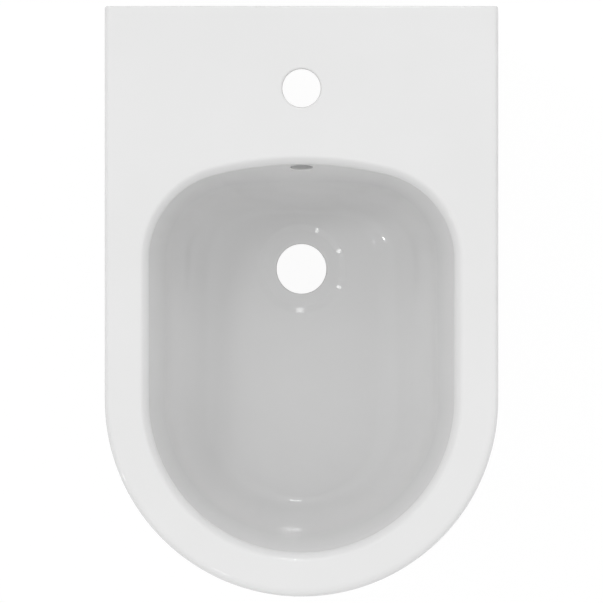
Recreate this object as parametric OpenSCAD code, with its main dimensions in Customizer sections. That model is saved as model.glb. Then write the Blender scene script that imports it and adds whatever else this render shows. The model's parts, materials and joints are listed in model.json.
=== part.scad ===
// Back-to-wall floor standing bidet: one vitreous china casting with an open tap hole, an open waste hole and
// an overflow passage, and the concealed kit that fixes it to the floor.
// Millimetres. +Z is up, +Y points at the wall, and the origin is on the floor under the middle of the outline.

/* [Body] */
// Width across the rim
body_w = 360; // [340:1:400]
// Depth from the wall to the front
body_l = 540; // [500:1:600]
// Height of the rim above the floor
body_h = 400; // [360:1:440]
// Thickness of the skirt
skirt_t = 12; // [9:0.5:16]
// Thickness of the deck and rim
deck_t = 14; // [11:0.5:18]
// Height of the upright band under the rim
band_h = 55; // [30:1:100]
// Height of the upright foot of the skirt
foot_h = 60; // [58:1:100]
// How far the foot stands in from the rim, all round
foot_inset = 30; // [10:1:40]
// Rounding of the outer rim edge
edge_r = 7; // [3:0.5:9]
// Rounding of the deck's edge along the wall
wall_edge_r = 1.5; // [0.5:0.25:3]

/* [Foot flange and wall opening] */
// Width of the flange that the skirt stands on
flange_w = 25; // [18:1:34]
// Thickness of that flange
flange_t = 12; // [8:0.5:16]
// Height of the opening for pipes in the back, which is as wide as the space between the flanges
service_h = 325; // [240:1:335]
// Rounding of its upper corners
service_r = 40; // [10:1:60]

/* [Bowl] */
// Width of the rim beside and in front of the bowl
rim_w = 40; // [34:0.5:50]
// Distance from the wall to the bowl's back edge
bowl_setback = 144.4; // [135:0.1:160]
// Radius of the bowl's rear corners
bowl_corner_r = 80; // [60:1:95]
// Radius of the bowl's back edge
bowl_back_r = 332; // [280:1:400]
// Rounding of the inner rim edge
lip_r = 7.7; // [4:0.1:9]
// Lean of the bowl's walls from upright, in degrees
wall_lean = 14; // [8:0.5:16]
// Depth from the rim to the floor beside the waste
bowl_depth = 135; // [115:1:150]
// Share of the depth that is straight wall, above the cove
wall_share = 0.48; // [0.35:0.01:0.55]
// Plan width of wall and cove at the sides
side_run = 73; // [66:1:82]
// Plan width of wall and cove at the front
front_run = 50; // [44:1:60]
// Plan width of wall and cove at the back
back_run = 46; // [42:1:52]
// Rear corner radius of the bowl's floor
floor_corner_r = 45; // [30:1:55]
// Radius of the floor's back edge
floor_back_r = 200; // [150:1:300]
// Fall of the floor towards the waste, as a share of the distance
floor_fall = 0.06; // [0.02:0.005:0.09]
// Thickness of the bowl
bowl_t = 12; // [9:0.5:15]

/* [Tap and waste holes] */
// Radius of the tap hole
tap_r = 17.5; // [15:0.5:19]
// Distance from the wall to the tap hole's centre
tap_setback = 75; // [65:1:85]
// Rounding of the tap hole's edge
tap_edge_r = 2; // [0.5:0.1:3]
// Radius of the waste hole
waste_r = 23; // [20:0.5:25]
// Distance from the wall to the waste hole's centre
waste_setback = 240; // [236:1:246]
// Radius of the dished seat round the waste
seat_r = 38.5; // [35:0.5:41]
// Depth of the dished seat
seat_depth = 1; // [0.5:0.25:4]
// Radius of the boss under the waste
boss_r = 40; // [34:0.5:44]
// Length of the waste hole through the boss
waste_l = 38; // [34:1:50]

/* [Overflow] */
// Width of the overflow slot
slot_w = 20; // [16:1:26]
// Height of the overflow slot
slot_h = 17; // [11:0.5:18]
// Corner radius of the overflow slot
slot_r = 5.5; // [3:0.5:5.5]
// Distance from the rim down to the slot's upper edge
slot_drop = 8; // [7:0.5:10]
// How far the slot's rounded lower lip reaches down the wall
slot_lip = 1.5; // [1:0.5:4]
// How far the slot's other edges flare
slot_flare = 1; // [0.5:0.1:1.2]
// Depth of the flare
slot_flare_d = 1.25; // [1:0.25:4]
// Width of the overflow passage
duct_w = 30; // [24:1:40]
// Depth of the overflow passage
duct_d = 11; // [8:0.5:14]
// Thickness of the china round the passage
duct_t = 8; // [6:0.5:11]

/* [Floor fixing] */
// Distance from the wall to the fixing screws
fixing_setback = 100; // [80:1:130]
// Height of the side screws above the floor
fixing_z = 34; // [31:0.5:40]
// Radius of the side holes in the skirt
side_hole_r = 9; // [8.5:0.25:11]
// Gap round the bush in its hole
bush_gap = 0.2; // [0.1:0.05:0.4]
// Radius of the bush's outer flange
bush_flange_r = 13; // [12:0.5:16]
// Thickness of the bush's outer flange
bush_flange_t = 3; // [2:0.25:4]
// Radius of the recess for the screw head
recess_r = 6.8; // [6.5:0.1:7.2]
// Depth of the recess for the screw head
recess_d = 8; // [7:0.5:10]
// Radius of the screw
screw_r = 3; // [2.5:0.25:3.25]
// Gap round the screw in bush and bracket
screw_gap = 0.25; // [0.15:0.05:0.4]
// Gap round the screw in its nut
thread_gap = 0.05; // [0.02:0.01:0.08]
// Screw length past the nut
screw_spare = 5; // [2:0.5:10]
// Radius of the screw head
screw_head_r = 5.7; // [5:0.1:6.2]
// Height of the screw head
screw_head_h = 3.6; // [3:0.1:4.2]
// Radius of the washer
washer_r = 6.3; // [5.8:0.1:6.4]
// Thickness of the washer
washer_t = 1.2; // [0.8:0.1:1.6]
// Width of the square nut across its flats
nut_w = 10; // [9.5:0.25:11]
// Thickness of the nut
nut_t = 5; // [4:0.25:6]

/* [Floor bracket] */
// Gap between the foot flange and the bracket
bracket_gap = 1; // [0.5:0.25:3]
// Width of the bracket along the skirt
bracket_w = 40; // [34:1:50]
// Length of the bracket on the floor
bracket_l = 56; // [48:1:64]
// Height of the bracket's upright
bracket_h = 48; // [46:1:60]
// Thickness of the bracket's base
bracket_base_t = 6; // [4:0.5:8]
// Thickness of the plastic on each side of the nut
bracket_web_t = 4; // [3:0.5:6]
// Thickness of the bracket's two gussets
gusset_t = 4; // [3:0.5:6]
// Gap round the nut in its pocket
pocket_gap = 0.2; // [0.1:0.05:0.3]
// Radius of the floor screw hole
floor_hole_r = 4.25; // [3.5:0.25:5]
// Distance from the upright's outer face to the floor screw hole
floor_hole_in = 34; // [32:1:38]

/* [Cover cap] */
// Radius of the cap
cap_r = 13; // [12:0.5:16]
// Thickness of the cap at its edge
cap_edge_t = 1.5; // [1:0.1:2.5]
// Height of the cap's dome above its edge
cap_dome = 1.8; // [1:0.1:3]
// Length of the cap's spigot
spigot_l = 2.6; // [2:0.1:3]
// Wall of the cap's spigot
spigot_t = 1.4; // [1:0.1:1.8]
// Gap round the spigot in the bush
spigot_gap = 0.08; // [0.04:0.01:0.1]
// Gap between the cap and the bush's flange
cap_gap = 0.1; // [0.05:0.05:0.3]

/* [Hidden] */
$fn = 96;

china = [0.93, 0.93, 0.92];
moulded_grey = [0.62, 0.63, 0.64];
plated_steel = [0.78, 0.79, 0.80];
moulded_white = [0.90, 0.90, 0.89];

// Overlap that makes a cut run clean through a face
over = 1;

// The outline: straight sides that run from the wall into a half round front
half_w = body_w / 2;
back_y = body_l / 2;
front_centre_y = half_w - back_y;
foot_x = half_w - foot_inset;
// The bowl's rim edge and floor edge, each as [half width, front centre y, corner radius, back radius, back y]
bowl_half_w = half_w - rim_w;
bowl_back_y = back_y - bowl_setback;
bowl_front_y = front_centre_y - bowl_half_w;
rim_edge = [bowl_half_w, front_centre_y, bowl_corner_r, bowl_back_r, bowl_back_y];
floor_half_w = bowl_half_w - side_run;
floor_edge = [
    floor_half_w, bowl_front_y + front_run + floor_half_w, floor_corner_r, floor_back_r, bowl_back_y - back_run
];
lip_w = lip_r * cos(wall_lean);
lip_h = lip_r * (1 - sin(wall_lean));
// Middle of the overflow slot on the back wall's face
slot_z = body_h - slot_drop - slot_h / 2;
slot_y = bowl_back_y - (body_h - lip_h - slot_z) * tan(wall_lean);

// Waste and tap
waste_y = back_y - waste_setback;
tap_y = back_y - tap_setback;
floor_z = body_h - bowl_depth;
seat_z = floor_z - seat_depth;
boss_bottom_z = seat_z - waste_l;

// Fixings, all measured out from the inside of the bracket's upright
fixing_y = back_y - fixing_setback;
upright_x = foot_x - flange_w - bracket_gap;
upright_t = 2 * bracket_web_t + nut_t + 2 * pocket_gap;
nut_x = upright_x - bracket_web_t - pocket_gap - nut_t;
bush_face_x = foot_x + bush_flange_t;
recess_x = bush_face_x - recess_d;
screw_tip_x = nut_x - screw_spare;

// ---- Outlines and lofts -------------------------------------------------------------------------------

function mix(a, b, t) = a + (b - a) * t;

function arc_points(centre, r, from, to, count) = [
    for (i = [0:count - 1])
        let (a = mix(from, to, i / count))
        [centre[0] + r * cos(a), centre[1] + r * sin(a)]
];

function line_points(a, b, count) = [for (i = [0:count - 1]) mix(a, b, i / count)];

// A closed D outline grown outwards by "grow", counter-clockwise from its left side, with "fine" steps on the
// short arcs
function d_outline(edge, grow, fine) =
    let (
        hw = edge[0],
        front = edge[1],
        rc = edge[2],
        rb = edge[3],
        corner_x = hw - rc,
        back_centre_y = edge[4] - rb,
        corner_y = back_centre_y + sqrt(pow(rb - rc, 2) - pow(corner_x, 2)),
        turn = acos(corner_x / (rb - rc))
    )
    concat(
        arc_points([0, front], hw + grow, 180, 360, 5 * fine),
        line_points([hw + grow, front], [hw + grow, corner_y], fine),
        arc_points([corner_x, corner_y], rc + grow, 0, turn, fine + 1),
        arc_points([0, back_centre_y], rb + grow, turn, 180 - turn, fine),
        arc_points([-corner_x, corner_y], rc + grow, 180 - turn, 180, fine + 1),
        line_points([-hw - grow, corner_y], [-hw - grow, front], fine)
    );

function at_height(outline, z) = [for (p = outline) [p[0], p[1], z]];

function from_waste(p) = norm([p[0], p[1] - waste_y]);

// Height of the bowl's floor, which falls to the waste from every side
function floor_height(p, drop) = floor_z - drop + floor_fall * (from_waste(p) - seat_r);

// Point on the bowl's side, from the rim edge (u = 0) down the straight wall, and round the cove (u = 1).
// The cove is a cubic curve that leaves along the wall and arrives along the floor.
straight_u = 0.25;
cove_pull = 0.6;
function side_point(top, bottom, u) =
    let (
        run = norm([bottom[0] - top[0], bottom[1] - top[1]]),
        fall = top[2] - bottom[2],
        wall_run = wall_share * fall * tan(wall_lean) / run,
        knee = [wall_run, wall_share],
        corner_t = wall_run / wall_share,
        corner = [corner_t, 1 - floor_fall * (1 - corner_t) * run / fall],
        foot = [1, 1],
        v = max(0, (u - straight_u) / (1 - straight_u)),
        c1 = mix(knee, corner, cove_pull),
        c2 = mix(foot, corner, cove_pull),
        w = u < straight_u
            ? knee * (u / straight_u)
            : knee * pow(1 - v, 3) + c1 * 3 * v * pow(1 - v, 2) + c2 * 3 * v * v * (1 - v) + foot * pow(v, 3)
    )
    [mix(top[0], bottom[0], w[0]), mix(top[1], bottom[1], w[0]), mix(top[2], bottom[2], w[1])];

// Rings are lists of points at equal counts, from the top down; the module closes them into one solid
module loft(rings) {
    n = len(rings[0]);
    last = len(rings) - 1;
    points = [for (ring = rings) each ring];
    sides = [
        for (k = [0:last - 1])
            for (i = [0:n - 1])
                let (
                    j = (i + 1) % n,
                    a = k * n + i,
                    b = k * n + j
                )
                each [[a, b, b + n], [a, b + n, a + n]]
    ];
    // Both caps fan out from point 1, which lies on the front arc and so off the straight sides
    top = [for (i = [0:n - 1]) (n + 1 - i) % n];
    bottom = [for (i = [0:n - 1]) last * n + (i + 1) % n];
    polyhedron(points = points, faces = concat([top], sides, [bottom]), convexity = 6);
}

// ---- The casting --------------------------------------------------------------------------------------

// Half width of the skirt at a height: upright foot, a soft S curve, upright band
sweep_steps = 20;
function skirt_x(z) =
    let (t = (z - foot_h) / (body_h - band_h - foot_h))
    foot_x + foot_inset * (1 - cos(180 * min(1, max(0, t)))) / 2;

// Half section of the skirt up to a height, moved inwards by "inset"
module skirt_section(inset, top_z) {
    polygon(concat(
        [[0, 0], [foot_x - inset, 0]],
        [
            for (s = [0:sweep_steps])
                let (z = mix(foot_h, body_h - band_h, s / sweep_steps))
                [skirt_x(z) - inset, z]
        ],
        [[half_w - inset, top_z], [0, top_z]]
    ));
}

// What the rounding of the outer rim edge takes off the half section
module rim_rounding() {
    difference() {
        translate([half_w - edge_r, body_h - edge_r])
            square(edge_r + over);
        translate([half_w - edge_r, body_h - edge_r])
            circle(edge_r);
    }
}

// What the rounding of the deck's edge along the wall takes off, as seen from the side
module wall_edge_rounding() {
    difference() {
        translate([back_y - wall_edge_r, body_h - wall_edge_r])
            square(wall_edge_r + over);
        translate([back_y - wall_edge_r, body_h - wall_edge_r])
            circle(wall_edge_r);
    }
}

// Sweeps the half section on its right side round the D outline, from the wall round the front to the wall
module d_sweep(rear_y) {
    translate([0, front_centre_y, 0])
        rotate([0, 0, 180])
            rotate_extrude(angle = 180)
                children();
    translate([0, rear_y, 0])
        rotate([90, 0, 0])
            linear_extrude(rear_y - front_centre_y)
                union() {
                    children();
                    mirror([1, 0])
                        children();
                }
}

module skirt_outside() {
    difference() {
        d_sweep(back_y)
            difference() {
                skirt_section(0, body_h);
                rim_rounding();
            }
        along_x(body_w + 2 * over)
            wall_edge_rounding();
    }
}

// The hollow inside the skirt, under the deck, with the foot flange left standing
module skirt_inside() {
    d_sweep(back_y - skirt_t)
        union() {
            intersection() {
                skirt_section(skirt_t, body_h - deck_t);
                translate([0, flange_t])
                    square([half_w, body_h]);
            }
            translate([0, -over])
                square([foot_x - flange_w, flange_t + 2 * over]);
        }
}

// The arched opening through the back for the trap and the supply hoses
module service_opening() {
    service_w = 2 * (foot_x - flange_w);
    straight_w = service_w - 2 * service_r;
    translate([0, back_y + over, 0])
        rotate([90, 0, 0])
            linear_extrude(skirt_t + 2 * over)
                union() {
                    translate([-service_w / 2, -over])
                        square([service_w, service_h - service_r + over]);
                    translate([-straight_w / 2, 0])
                        square([straight_w, service_h]);
                    for (side = [-1, 1])
                        translate([side * straight_w / 2, service_h - service_r])
                            circle(service_r);
                }
}

// Rings of the bowl's side between two edges, "steps" of them round the cove
function side_rings(top, bottom, steps) = [
    for (s = [0:steps])
        [for (i = [0:len(top) - 1]) side_point(top[i], bottom[i], mix(straight_u, 1, s / steps))]
];

// Points pulled in from the floor's edge towards a circle round the waste
function towards_waste(points, r, t, z) = [
    for (p = points)
        let (
            d = from_waste(p),
            to = [p[0] * r / d, waste_y + (p[1] - waste_y) * r / d, z]
        )
        mix(p, to, t)
];

bowl_fine = 6;
lip_steps = 5;
cove_steps = 7;
module bowl_inside() {
    rim = at_height(d_outline(rim_edge, 0, bowl_fine), body_h - lip_h);
    floor_line = d_outline(floor_edge, 0, bowl_fine);
    floor_ring = [for (p = floor_line) [p[0], p[1], floor_height(p, 0)]];
    lip = [
        for (s = [0:lip_steps - 1])
            let (a = s / lip_steps * (90 - wall_lean))
            at_height(d_outline(rim_edge, lip_w - lip_r * sin(a), bowl_fine), body_h - lip_r * (1 - cos(a)))
    ];
    loft(concat(
        [at_height(d_outline(rim_edge, lip_w, bowl_fine), body_h + over)],
        lip,
        [rim],
        side_rings(rim, floor_ring, cove_steps),
        [towards_waste(floor_ring, seat_r, 0.5, floor_z)],
        [towards_waste(floor_ring, seat_r, 1, floor_z)],
        [towards_waste(floor_ring, seat_r - seat_depth, 1, seat_z)]
    ));
}

shell_fine = 4;
shell_steps = 4;
module bowl_outside() {
    rim = at_height(d_outline(rim_edge, bowl_t, shell_fine), body_h - deck_t + over);
    floor_line = d_outline(floor_edge, bowl_t / 2, shell_fine);
    floor_ring = [for (p = floor_line) [p[0], p[1], floor_height(p, bowl_t)]];
    loft(concat(
        [rim],
        side_rings(rim, floor_ring, shell_steps),
        [towards_waste(floor_ring, seat_r, 1, floor_z - bowl_t)]
    ));
}

// Section of the bowl's back wall on the centre line, as [y, z], moved outwards by "out"
back_rim = [0, bowl_back_y, body_h - lip_h];
back_foot = [0, bowl_back_y - back_run, floor_height([0, bowl_back_y - back_run], 0)];
function back_wall(u) = let (p = side_point(back_rim, back_foot, u)) [p[1], p[2]];
function back_wall_out(u, out) =
    let (
        step = 0.02,
        a = back_wall(max(0, u - step)),
        b = back_wall(min(1, u + step)),
        d = (b - a) / norm(b - a)
    )
    back_wall(u) + out * [-d[1], d[0]];

// The passage runs down behind the bowl and forward under its floor into the side of the waste hole. "spread"
// grows the section for the china round it.
duct_steps = 6;
module duct_section(spread, top_z, end_y) {
    near = bowl_t - spread;
    far = bowl_t + duct_d + spread;
    intersection() {
        polygon(concat(
            [for (s = [0:duct_steps]) back_wall_out(s / duct_steps, near)],
            [[end_y, floor_z - near], [end_y, floor_z - far]],
            [for (s = [0:duct_steps]) back_wall_out(1 - s / duct_steps, far)]
        ));
        translate([0, boss_bottom_z])
            square([back_y, top_z - boss_bottom_z]);
    }
}

module along_x(width) {
    translate([-width / 2, 0, 0])
        rotate([90, 0, 90])
            linear_extrude(width)
                children();
}

module duct_outside() {
    along_x(duct_w + 2 * duct_t)
        duct_section(duct_t, body_h - deck_t + over, waste_y + waste_r);
}

module duct_inside() {
    along_x(duct_w)
        duct_section(0, body_h - deck_t, waste_y);
}

// Ring of the overflow slot, a rounded oblong in a plane that leans like the back wall. "depth" is the distance
// behind the wall's face, and "flare" opens the ring from 0 to 1.
slot_fine = 4;
function slot_ring(flare, depth) = [
    for (corner = [0:3])
        for (s = [0:slot_fine])
            let (
                a = 90 * (corner + s / slot_fine),
                x = (slot_w / 2 - slot_r) * (corner % 3 == 0 ? 1 : -1) + slot_r * cos(a),
                rise = (slot_h / 2 - slot_r) * (corner < 2 ? 1 : -1) + slot_r * sin(a),
                v = rise * (1 + flare * (rise > 0 ? slot_flare : slot_lip) / (slot_h / 2))
            )
            [
                x * (1 + flare * slot_flare / (slot_w / 2)),
                slot_y + v * sin(wall_lean) + depth * cos(wall_lean),
                slot_z + v * cos(wall_lean) - depth * sin(wall_lean)
            ]
];

// The slot runs square to the leaning wall into the passage, with a rounded mouth
module overflow_slot() {
    loft(concat(
        [slot_ring(1.1, -over)],
        [for (a = [72:-18:18]) slot_ring(1 - cos(a), slot_flare_d * (1 - sin(a)))],
        [slot_ring(0, slot_flare_d), slot_ring(0, bowl_t + 0.75 * duct_d)]
    ));
}

// Hole with a rounded upper edge
module tap_hole() {
    translate([0, tap_y, body_h - deck_t - over])
        cylinder(r = tap_r, h = deck_t + 2 * over);
    translate([0, tap_y, body_h])
        rotate_extrude()
            difference() {
                translate([0, -tap_edge_r])
                    square([tap_r + tap_edge_r, tap_edge_r + over]);
                translate([tap_r + tap_edge_r, -tap_edge_r])
                    circle(tap_edge_r, $fn = 48);
            }
}

// Hole through the upright foot on both sides
module side_holes() {
    translate([-body_w, fixing_y, fixing_z])
        rotate([0, 90, 0])
            cylinder(r = side_hole_r, h = 2 * body_w);
}

module ceramic_body() {
    color(china)
        difference() {
            union() {
                difference() {
                    skirt_outside();
                    skirt_inside();
                    service_opening();
                }
                bowl_outside();
                duct_outside();
                translate([0, waste_y, boss_bottom_z])
                    cylinder(r = boss_r, h = waste_l);
            }
            bowl_inside();
            duct_inside();
            overflow_slot();
            tap_hole();
            side_holes();
            translate([0, waste_y, boss_bottom_z - over])
                cylinder(r = waste_r, h = waste_l + seat_depth + 2 * over);
        }
}

// ---- The fixing kit, drawn for the right side and mirrored to the left --------------------------------

module on_side(side) {
    mirror([side < 0 ? 1 : 0, 0, 0])
        translate([0, fixing_y, 0])
            children();
}

// A rod along +X from x0 to x1 at the height of the side screw
module rod(r, x0, x1) {
    translate([x0, 0, fixing_z])
        rotate([0, 90, 0])
            cylinder(r = r, h = x1 - x0);
}

// Angle bracket with two gussets and a pocket, open above, that keeps the nut from turning
module floor_bracket(side) {
    pocket_w = nut_w + 2 * pocket_gap;
    pocket_z = fixing_z - nut_w / 2;
    gusset_l = bracket_l - upright_t;
    color(moulded_grey)
        on_side(side)
            difference() {
                union() {
                    translate([upright_x - bracket_l, -bracket_w / 2, 0])
                        cube([bracket_l, bracket_w, bracket_base_t]);
                    translate([upright_x - upright_t, -bracket_w / 2, 0])
                        cube([upright_t, bracket_w, bracket_h]);
                    for (edge = [-1, 1])
                        translate([upright_x - upright_t, edge * (bracket_w - gusset_t) / 2 + gusset_t / 2, 0])
                            rotate([90, 0, 0])
                                linear_extrude(gusset_t)
                                    polygon([
                                        [over, 0],
                                        [over, bracket_h],
                                        [0, bracket_h],
                                        [-gusset_l, bracket_base_t],
                                        [-gusset_l, 0]
                                    ]);
                }
                translate([nut_x - pocket_gap, -pocket_w / 2, pocket_z])
                    cube([nut_t + 2 * pocket_gap, pocket_w, bracket_h]);
                rod(screw_r + screw_gap, upright_x - upright_t - over, upright_x + over);
                translate([upright_x - floor_hole_in, 0, -over])
                    cylinder(r = floor_hole_r, h = bracket_base_t + 2 * over);
            }
}

module bracket_nut(side) {
    color(plated_steel)
        on_side(side)
            difference() {
                translate([nut_x, -nut_w / 2, fixing_z - nut_w / 2])
                    cube([nut_t, nut_w, nut_w]);
                rod(screw_r + thread_gap, nut_x - over, nut_x + nut_t + over);
            }
}

// Lines the side hole, bears on the bracket's upright and holds the screw head below its face
module side_bush(side) {
    color(moulded_white)
        on_side(side)
            difference() {
                union() {
                    rod(side_hole_r - bush_gap, upright_x, bush_face_x);
                    rod(bush_flange_r, foot_x, bush_face_x);
                }
                rod(screw_r + screw_gap, upright_x - over, bush_face_x);
                rod(recess_r, recess_x, bush_face_x + over);
            }
}

module screw_washer(side) {
    color(plated_steel)
        on_side(side)
            difference() {
                rod(washer_r, recess_x, recess_x + washer_t);
                rod(screw_r + screw_gap, recess_x - over, recess_x + washer_t + over);
            }
}

// Pan head screw with a hexagon socket
module side_screw(side) {
    head_x = recess_x + washer_t;
    socket_r = screw_head_r / 2;
    socket_d = screw_head_h / 2;
    color(plated_steel)
        on_side(side)
            difference() {
                union() {
                    rod(screw_r, screw_tip_x, head_x);
                    rod(screw_head_r, head_x, head_x + screw_head_h);
                }
                translate([head_x + screw_head_h - socket_d, 0, fixing_z])
                    rotate([0, 90, 0])
                        cylinder(r = socket_r, h = socket_d + over, $fn = 6);
            }
}

// Domed cap with a ring spigot that pushes into the bush's recess
module cover_cap(side) {
    cap_x = bush_face_x + cap_gap;
    spigot_r = recess_r - spigot_gap;
    dome_r = (pow(cap_r, 2) + pow(cap_dome, 2)) / (2 * cap_dome);
    color(moulded_white)
        on_side(side)
            translate([cap_x, 0, fixing_z])
                rotate([0, 90, 0])
                    union() {
                        cylinder(r = cap_r, h = cap_edge_t);
                        translate([0, 0, cap_edge_t])
                            rotate_extrude()
                                intersection() {
                                    square([cap_r, cap_dome]);
                                    translate([0, cap_dome - dome_r])
                                        circle(dome_r, $fn = 360);
                                }
                        translate([0, 0, -spigot_l])
                            rotate_extrude()
                                translate([spigot_r - spigot_t, 0])
                                    square([spigot_t, spigot_l + cap_edge_t / 2]);
                    }
}

ceramic_body();
floor_bracket(-1);  // floor_bracket_left
floor_bracket(1);  // floor_bracket_right
bracket_nut(-1);  // bracket_nut_left
bracket_nut(1);  // bracket_nut_right
side_bush(-1);  // side_bush_left
side_bush(1);  // side_bush_right
side_screw(-1);  // side_screw_left
side_screw(1);  // side_screw_right
screw_washer(-1);  // screw_washer_left
screw_washer(1);  // screw_washer_right
cover_cap(-1);  // cover_cap_left
cover_cap(1);  // cover_cap_right
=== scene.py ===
# %% [markdown]
# # A floor standing bidet, dressed in Blender
#
# A back-to-wall bidet is one hollow casting of vitreous china and a few small fixings. The clay
# is poured into plaster moulds, so its edges are all soft, its walls are about 12 mm thick, and a
# thick glassy glaze runs over everything that shows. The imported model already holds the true
# sizes. This script gives each piece the finish and the fine forms that the real one has, and
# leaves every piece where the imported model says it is.

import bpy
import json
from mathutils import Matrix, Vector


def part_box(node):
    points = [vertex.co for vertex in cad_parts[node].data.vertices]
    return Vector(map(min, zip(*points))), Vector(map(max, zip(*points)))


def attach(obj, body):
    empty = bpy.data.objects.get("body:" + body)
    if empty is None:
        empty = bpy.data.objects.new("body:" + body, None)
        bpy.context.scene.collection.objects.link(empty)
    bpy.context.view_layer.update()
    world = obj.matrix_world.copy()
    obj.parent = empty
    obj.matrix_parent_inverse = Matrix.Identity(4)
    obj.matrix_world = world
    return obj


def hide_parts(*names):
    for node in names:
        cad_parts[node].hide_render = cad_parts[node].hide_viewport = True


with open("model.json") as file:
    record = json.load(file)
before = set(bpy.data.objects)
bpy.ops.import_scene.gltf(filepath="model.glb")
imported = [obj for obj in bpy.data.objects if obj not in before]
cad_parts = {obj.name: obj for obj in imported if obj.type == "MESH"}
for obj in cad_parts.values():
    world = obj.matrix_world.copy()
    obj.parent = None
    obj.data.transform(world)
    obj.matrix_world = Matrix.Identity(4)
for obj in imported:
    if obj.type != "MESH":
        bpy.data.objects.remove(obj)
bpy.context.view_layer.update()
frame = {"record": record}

# %% Libraries and units
import json
from math import acos, cos, degrees, hypot, pi, radians, sin, sqrt, tan

import bmesh
import bpy
from mathutils import Matrix, Vector

MM = 0.001
WELD = 1e-6
FINE_WELD = 1e-7

# %% [markdown]
# ## Sizes
#
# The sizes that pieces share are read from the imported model: its box, its two bores and its
# fixing screws. What the model can't say, such as how soft an edge is, is named here.

# %% Sizes of the china
china_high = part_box("ceramic_body")[1]
RIM_Z = china_high.z
HALF_WIDTH = china_high.x
BACK_Y = china_high.y
FRONT_Y = HALF_WIDTH - BACK_Y
mounts = {mount["name"]: mount for mount in frame["record"]["mounts"]}
TAP_Y = mounts["tap_hole"]["pos_m"][1]
TAP_R = mounts["tap_hole"]["dims"]["r_mm"] * MM
WASTE_Y = mounts["waste_hole"]["pos_m"][1]
WASTE_R = mounts["waste_hole"]["dims"]["r_mm"] * MM
print("half width", HALF_WIDTH, "back", BACK_Y, "front centre", round(FRONT_Y, 4))

FOOT_INSET = 30 * MM
FOOT_HEIGHT = 60 * MM
BAND_HEIGHT = 55 * MM
SKIRT_WALL = 12 * MM
DECK_WALL = 14 * MM
FLANGE_WIDTH = 25 * MM
FLANGE_WALL = 12 * MM
EDGE_W = 4.5 * MM
EDGE_H = 4 * MM
EDGE_SWELL = 4.5 * MM
BACK_EDGE_R = 1.6 * MM
FOOT_EDGE_R = 1.5 * MM
CORNER_R = 2.5 * MM
TIGHT_CORNER_R = 1.2 * MM

# %% [markdown]
# ## Outlines
#
# Seen from above, the skirt and the bowl are both D shapes: a half round front, straight sides,
# rounded rear corners and a back that is straight on the skirt and gently bowed on the bowl. Each
# is a closed run of arcs and lines. An editor's user would draw a curve. Here a few short
# functions give the points, so that every ring of one shape has the same count and can be bridged
# to the next without a twist.

# %% Arcs and lines
def arc(centre, radius, start, end, steps):
    """Points of an arc, without its last one. Angles are in degrees and run counter-clockwise."""
    turns = [radians(start + (end - start) * i / steps) for i in range(steps)]
    return [(centre[0] + radius * cos(t), centre[1] + radius * sin(t)) for t in turns]


def mix(a, b, share):
    """The value, or the point, that lies a share of the way from a to b."""
    if isinstance(a, (tuple, list)):
        return tuple(p + (q - p) * share for p, q in zip(a, b))
    return a + (b - a) * share


def evenly(a, b, steps):
    """Values from a to b in equal steps, with both ends."""
    return [mix(a, b, i / steps) for i in range(steps + 1)]


def quarter(turn):
    """How far in and how far below its top a quarter round is, as shares of its radius."""
    return 1 - cos(radians(turn)), 1 - sin(radians(turn))


def line(a, b, steps, hold=0.0):
    """Points from a to b, without the last one. With hold, the first and last step are that long."""
    if not hold:
        return [mix(a, b, i / steps) for i in range(steps)]
    share = hold / hypot(b[0] - a[0], b[1] - a[1])
    return [mix(a, b, u) for u in [0.0] + evenly(share, 1 - share, steps - 2)]


# %% The skirt's outline at one height
FRONT_STEPS = 96
SIDE_STEPS = 16
CORNER_STEPS = 5
BACK_STEPS = 22
END_STEP = 2 * MM


def skirt_outline(half_width, back, corner):
    """Points of the skirt's D, each with its share of the back: 0 at the sides, 1 along the wall."""
    x, y = half_width - corner, back - corner
    front = arc((0, FRONT_Y), half_width, 180, 360, FRONT_STEPS)
    right = line((half_width, FRONT_Y), (half_width, y), SIDE_STEPS, END_STEP)
    right_corner = arc((x, y), corner, 0, 90, CORNER_STEPS)
    rear = line((x, back), (-x, back), BACK_STEPS, END_STEP)
    left_corner = arc((-x, y), corner, 90, 180, CORNER_STEPS)
    left = line((-half_width, y), (-half_width, FRONT_Y), SIDE_STEPS, END_STEP)
    turn = [i / CORNER_STEPS for i in range(CORNER_STEPS)]
    shares = [0.0] * (FRONT_STEPS + SIDE_STEPS) + turn + [1.0] * BACK_STEPS
    shares += [1 - t for t in turn] + [0.0] * SIDE_STEPS
    return list(zip(front + right + right_corner + rear + left_corner + left, shares))


print("points in a skirt ring:", len(skirt_outline(HALF_WIDTH, BACK_Y, CORNER_R)))

# %% The bowl's outline at one height
BOWL_FINE = 18
RIM_WIDTH = 40 * MM
BACK_WIDTH = 144.4 * MM
FLOOR_INSET = 46 * MM
# Half width, y of the front's centre, corner radius, back radius, y of the back
RIM_EDGE = [HALF_WIDTH - RIM_WIDTH, FRONT_Y, 80 * MM, 332 * MM, BACK_Y - BACK_WIDTH]
FLOOR_EDGE = [67 * MM, -113 * MM, 45 * MM, 200 * MM, RIM_EDGE[4] - FLOOR_INSET]


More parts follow.
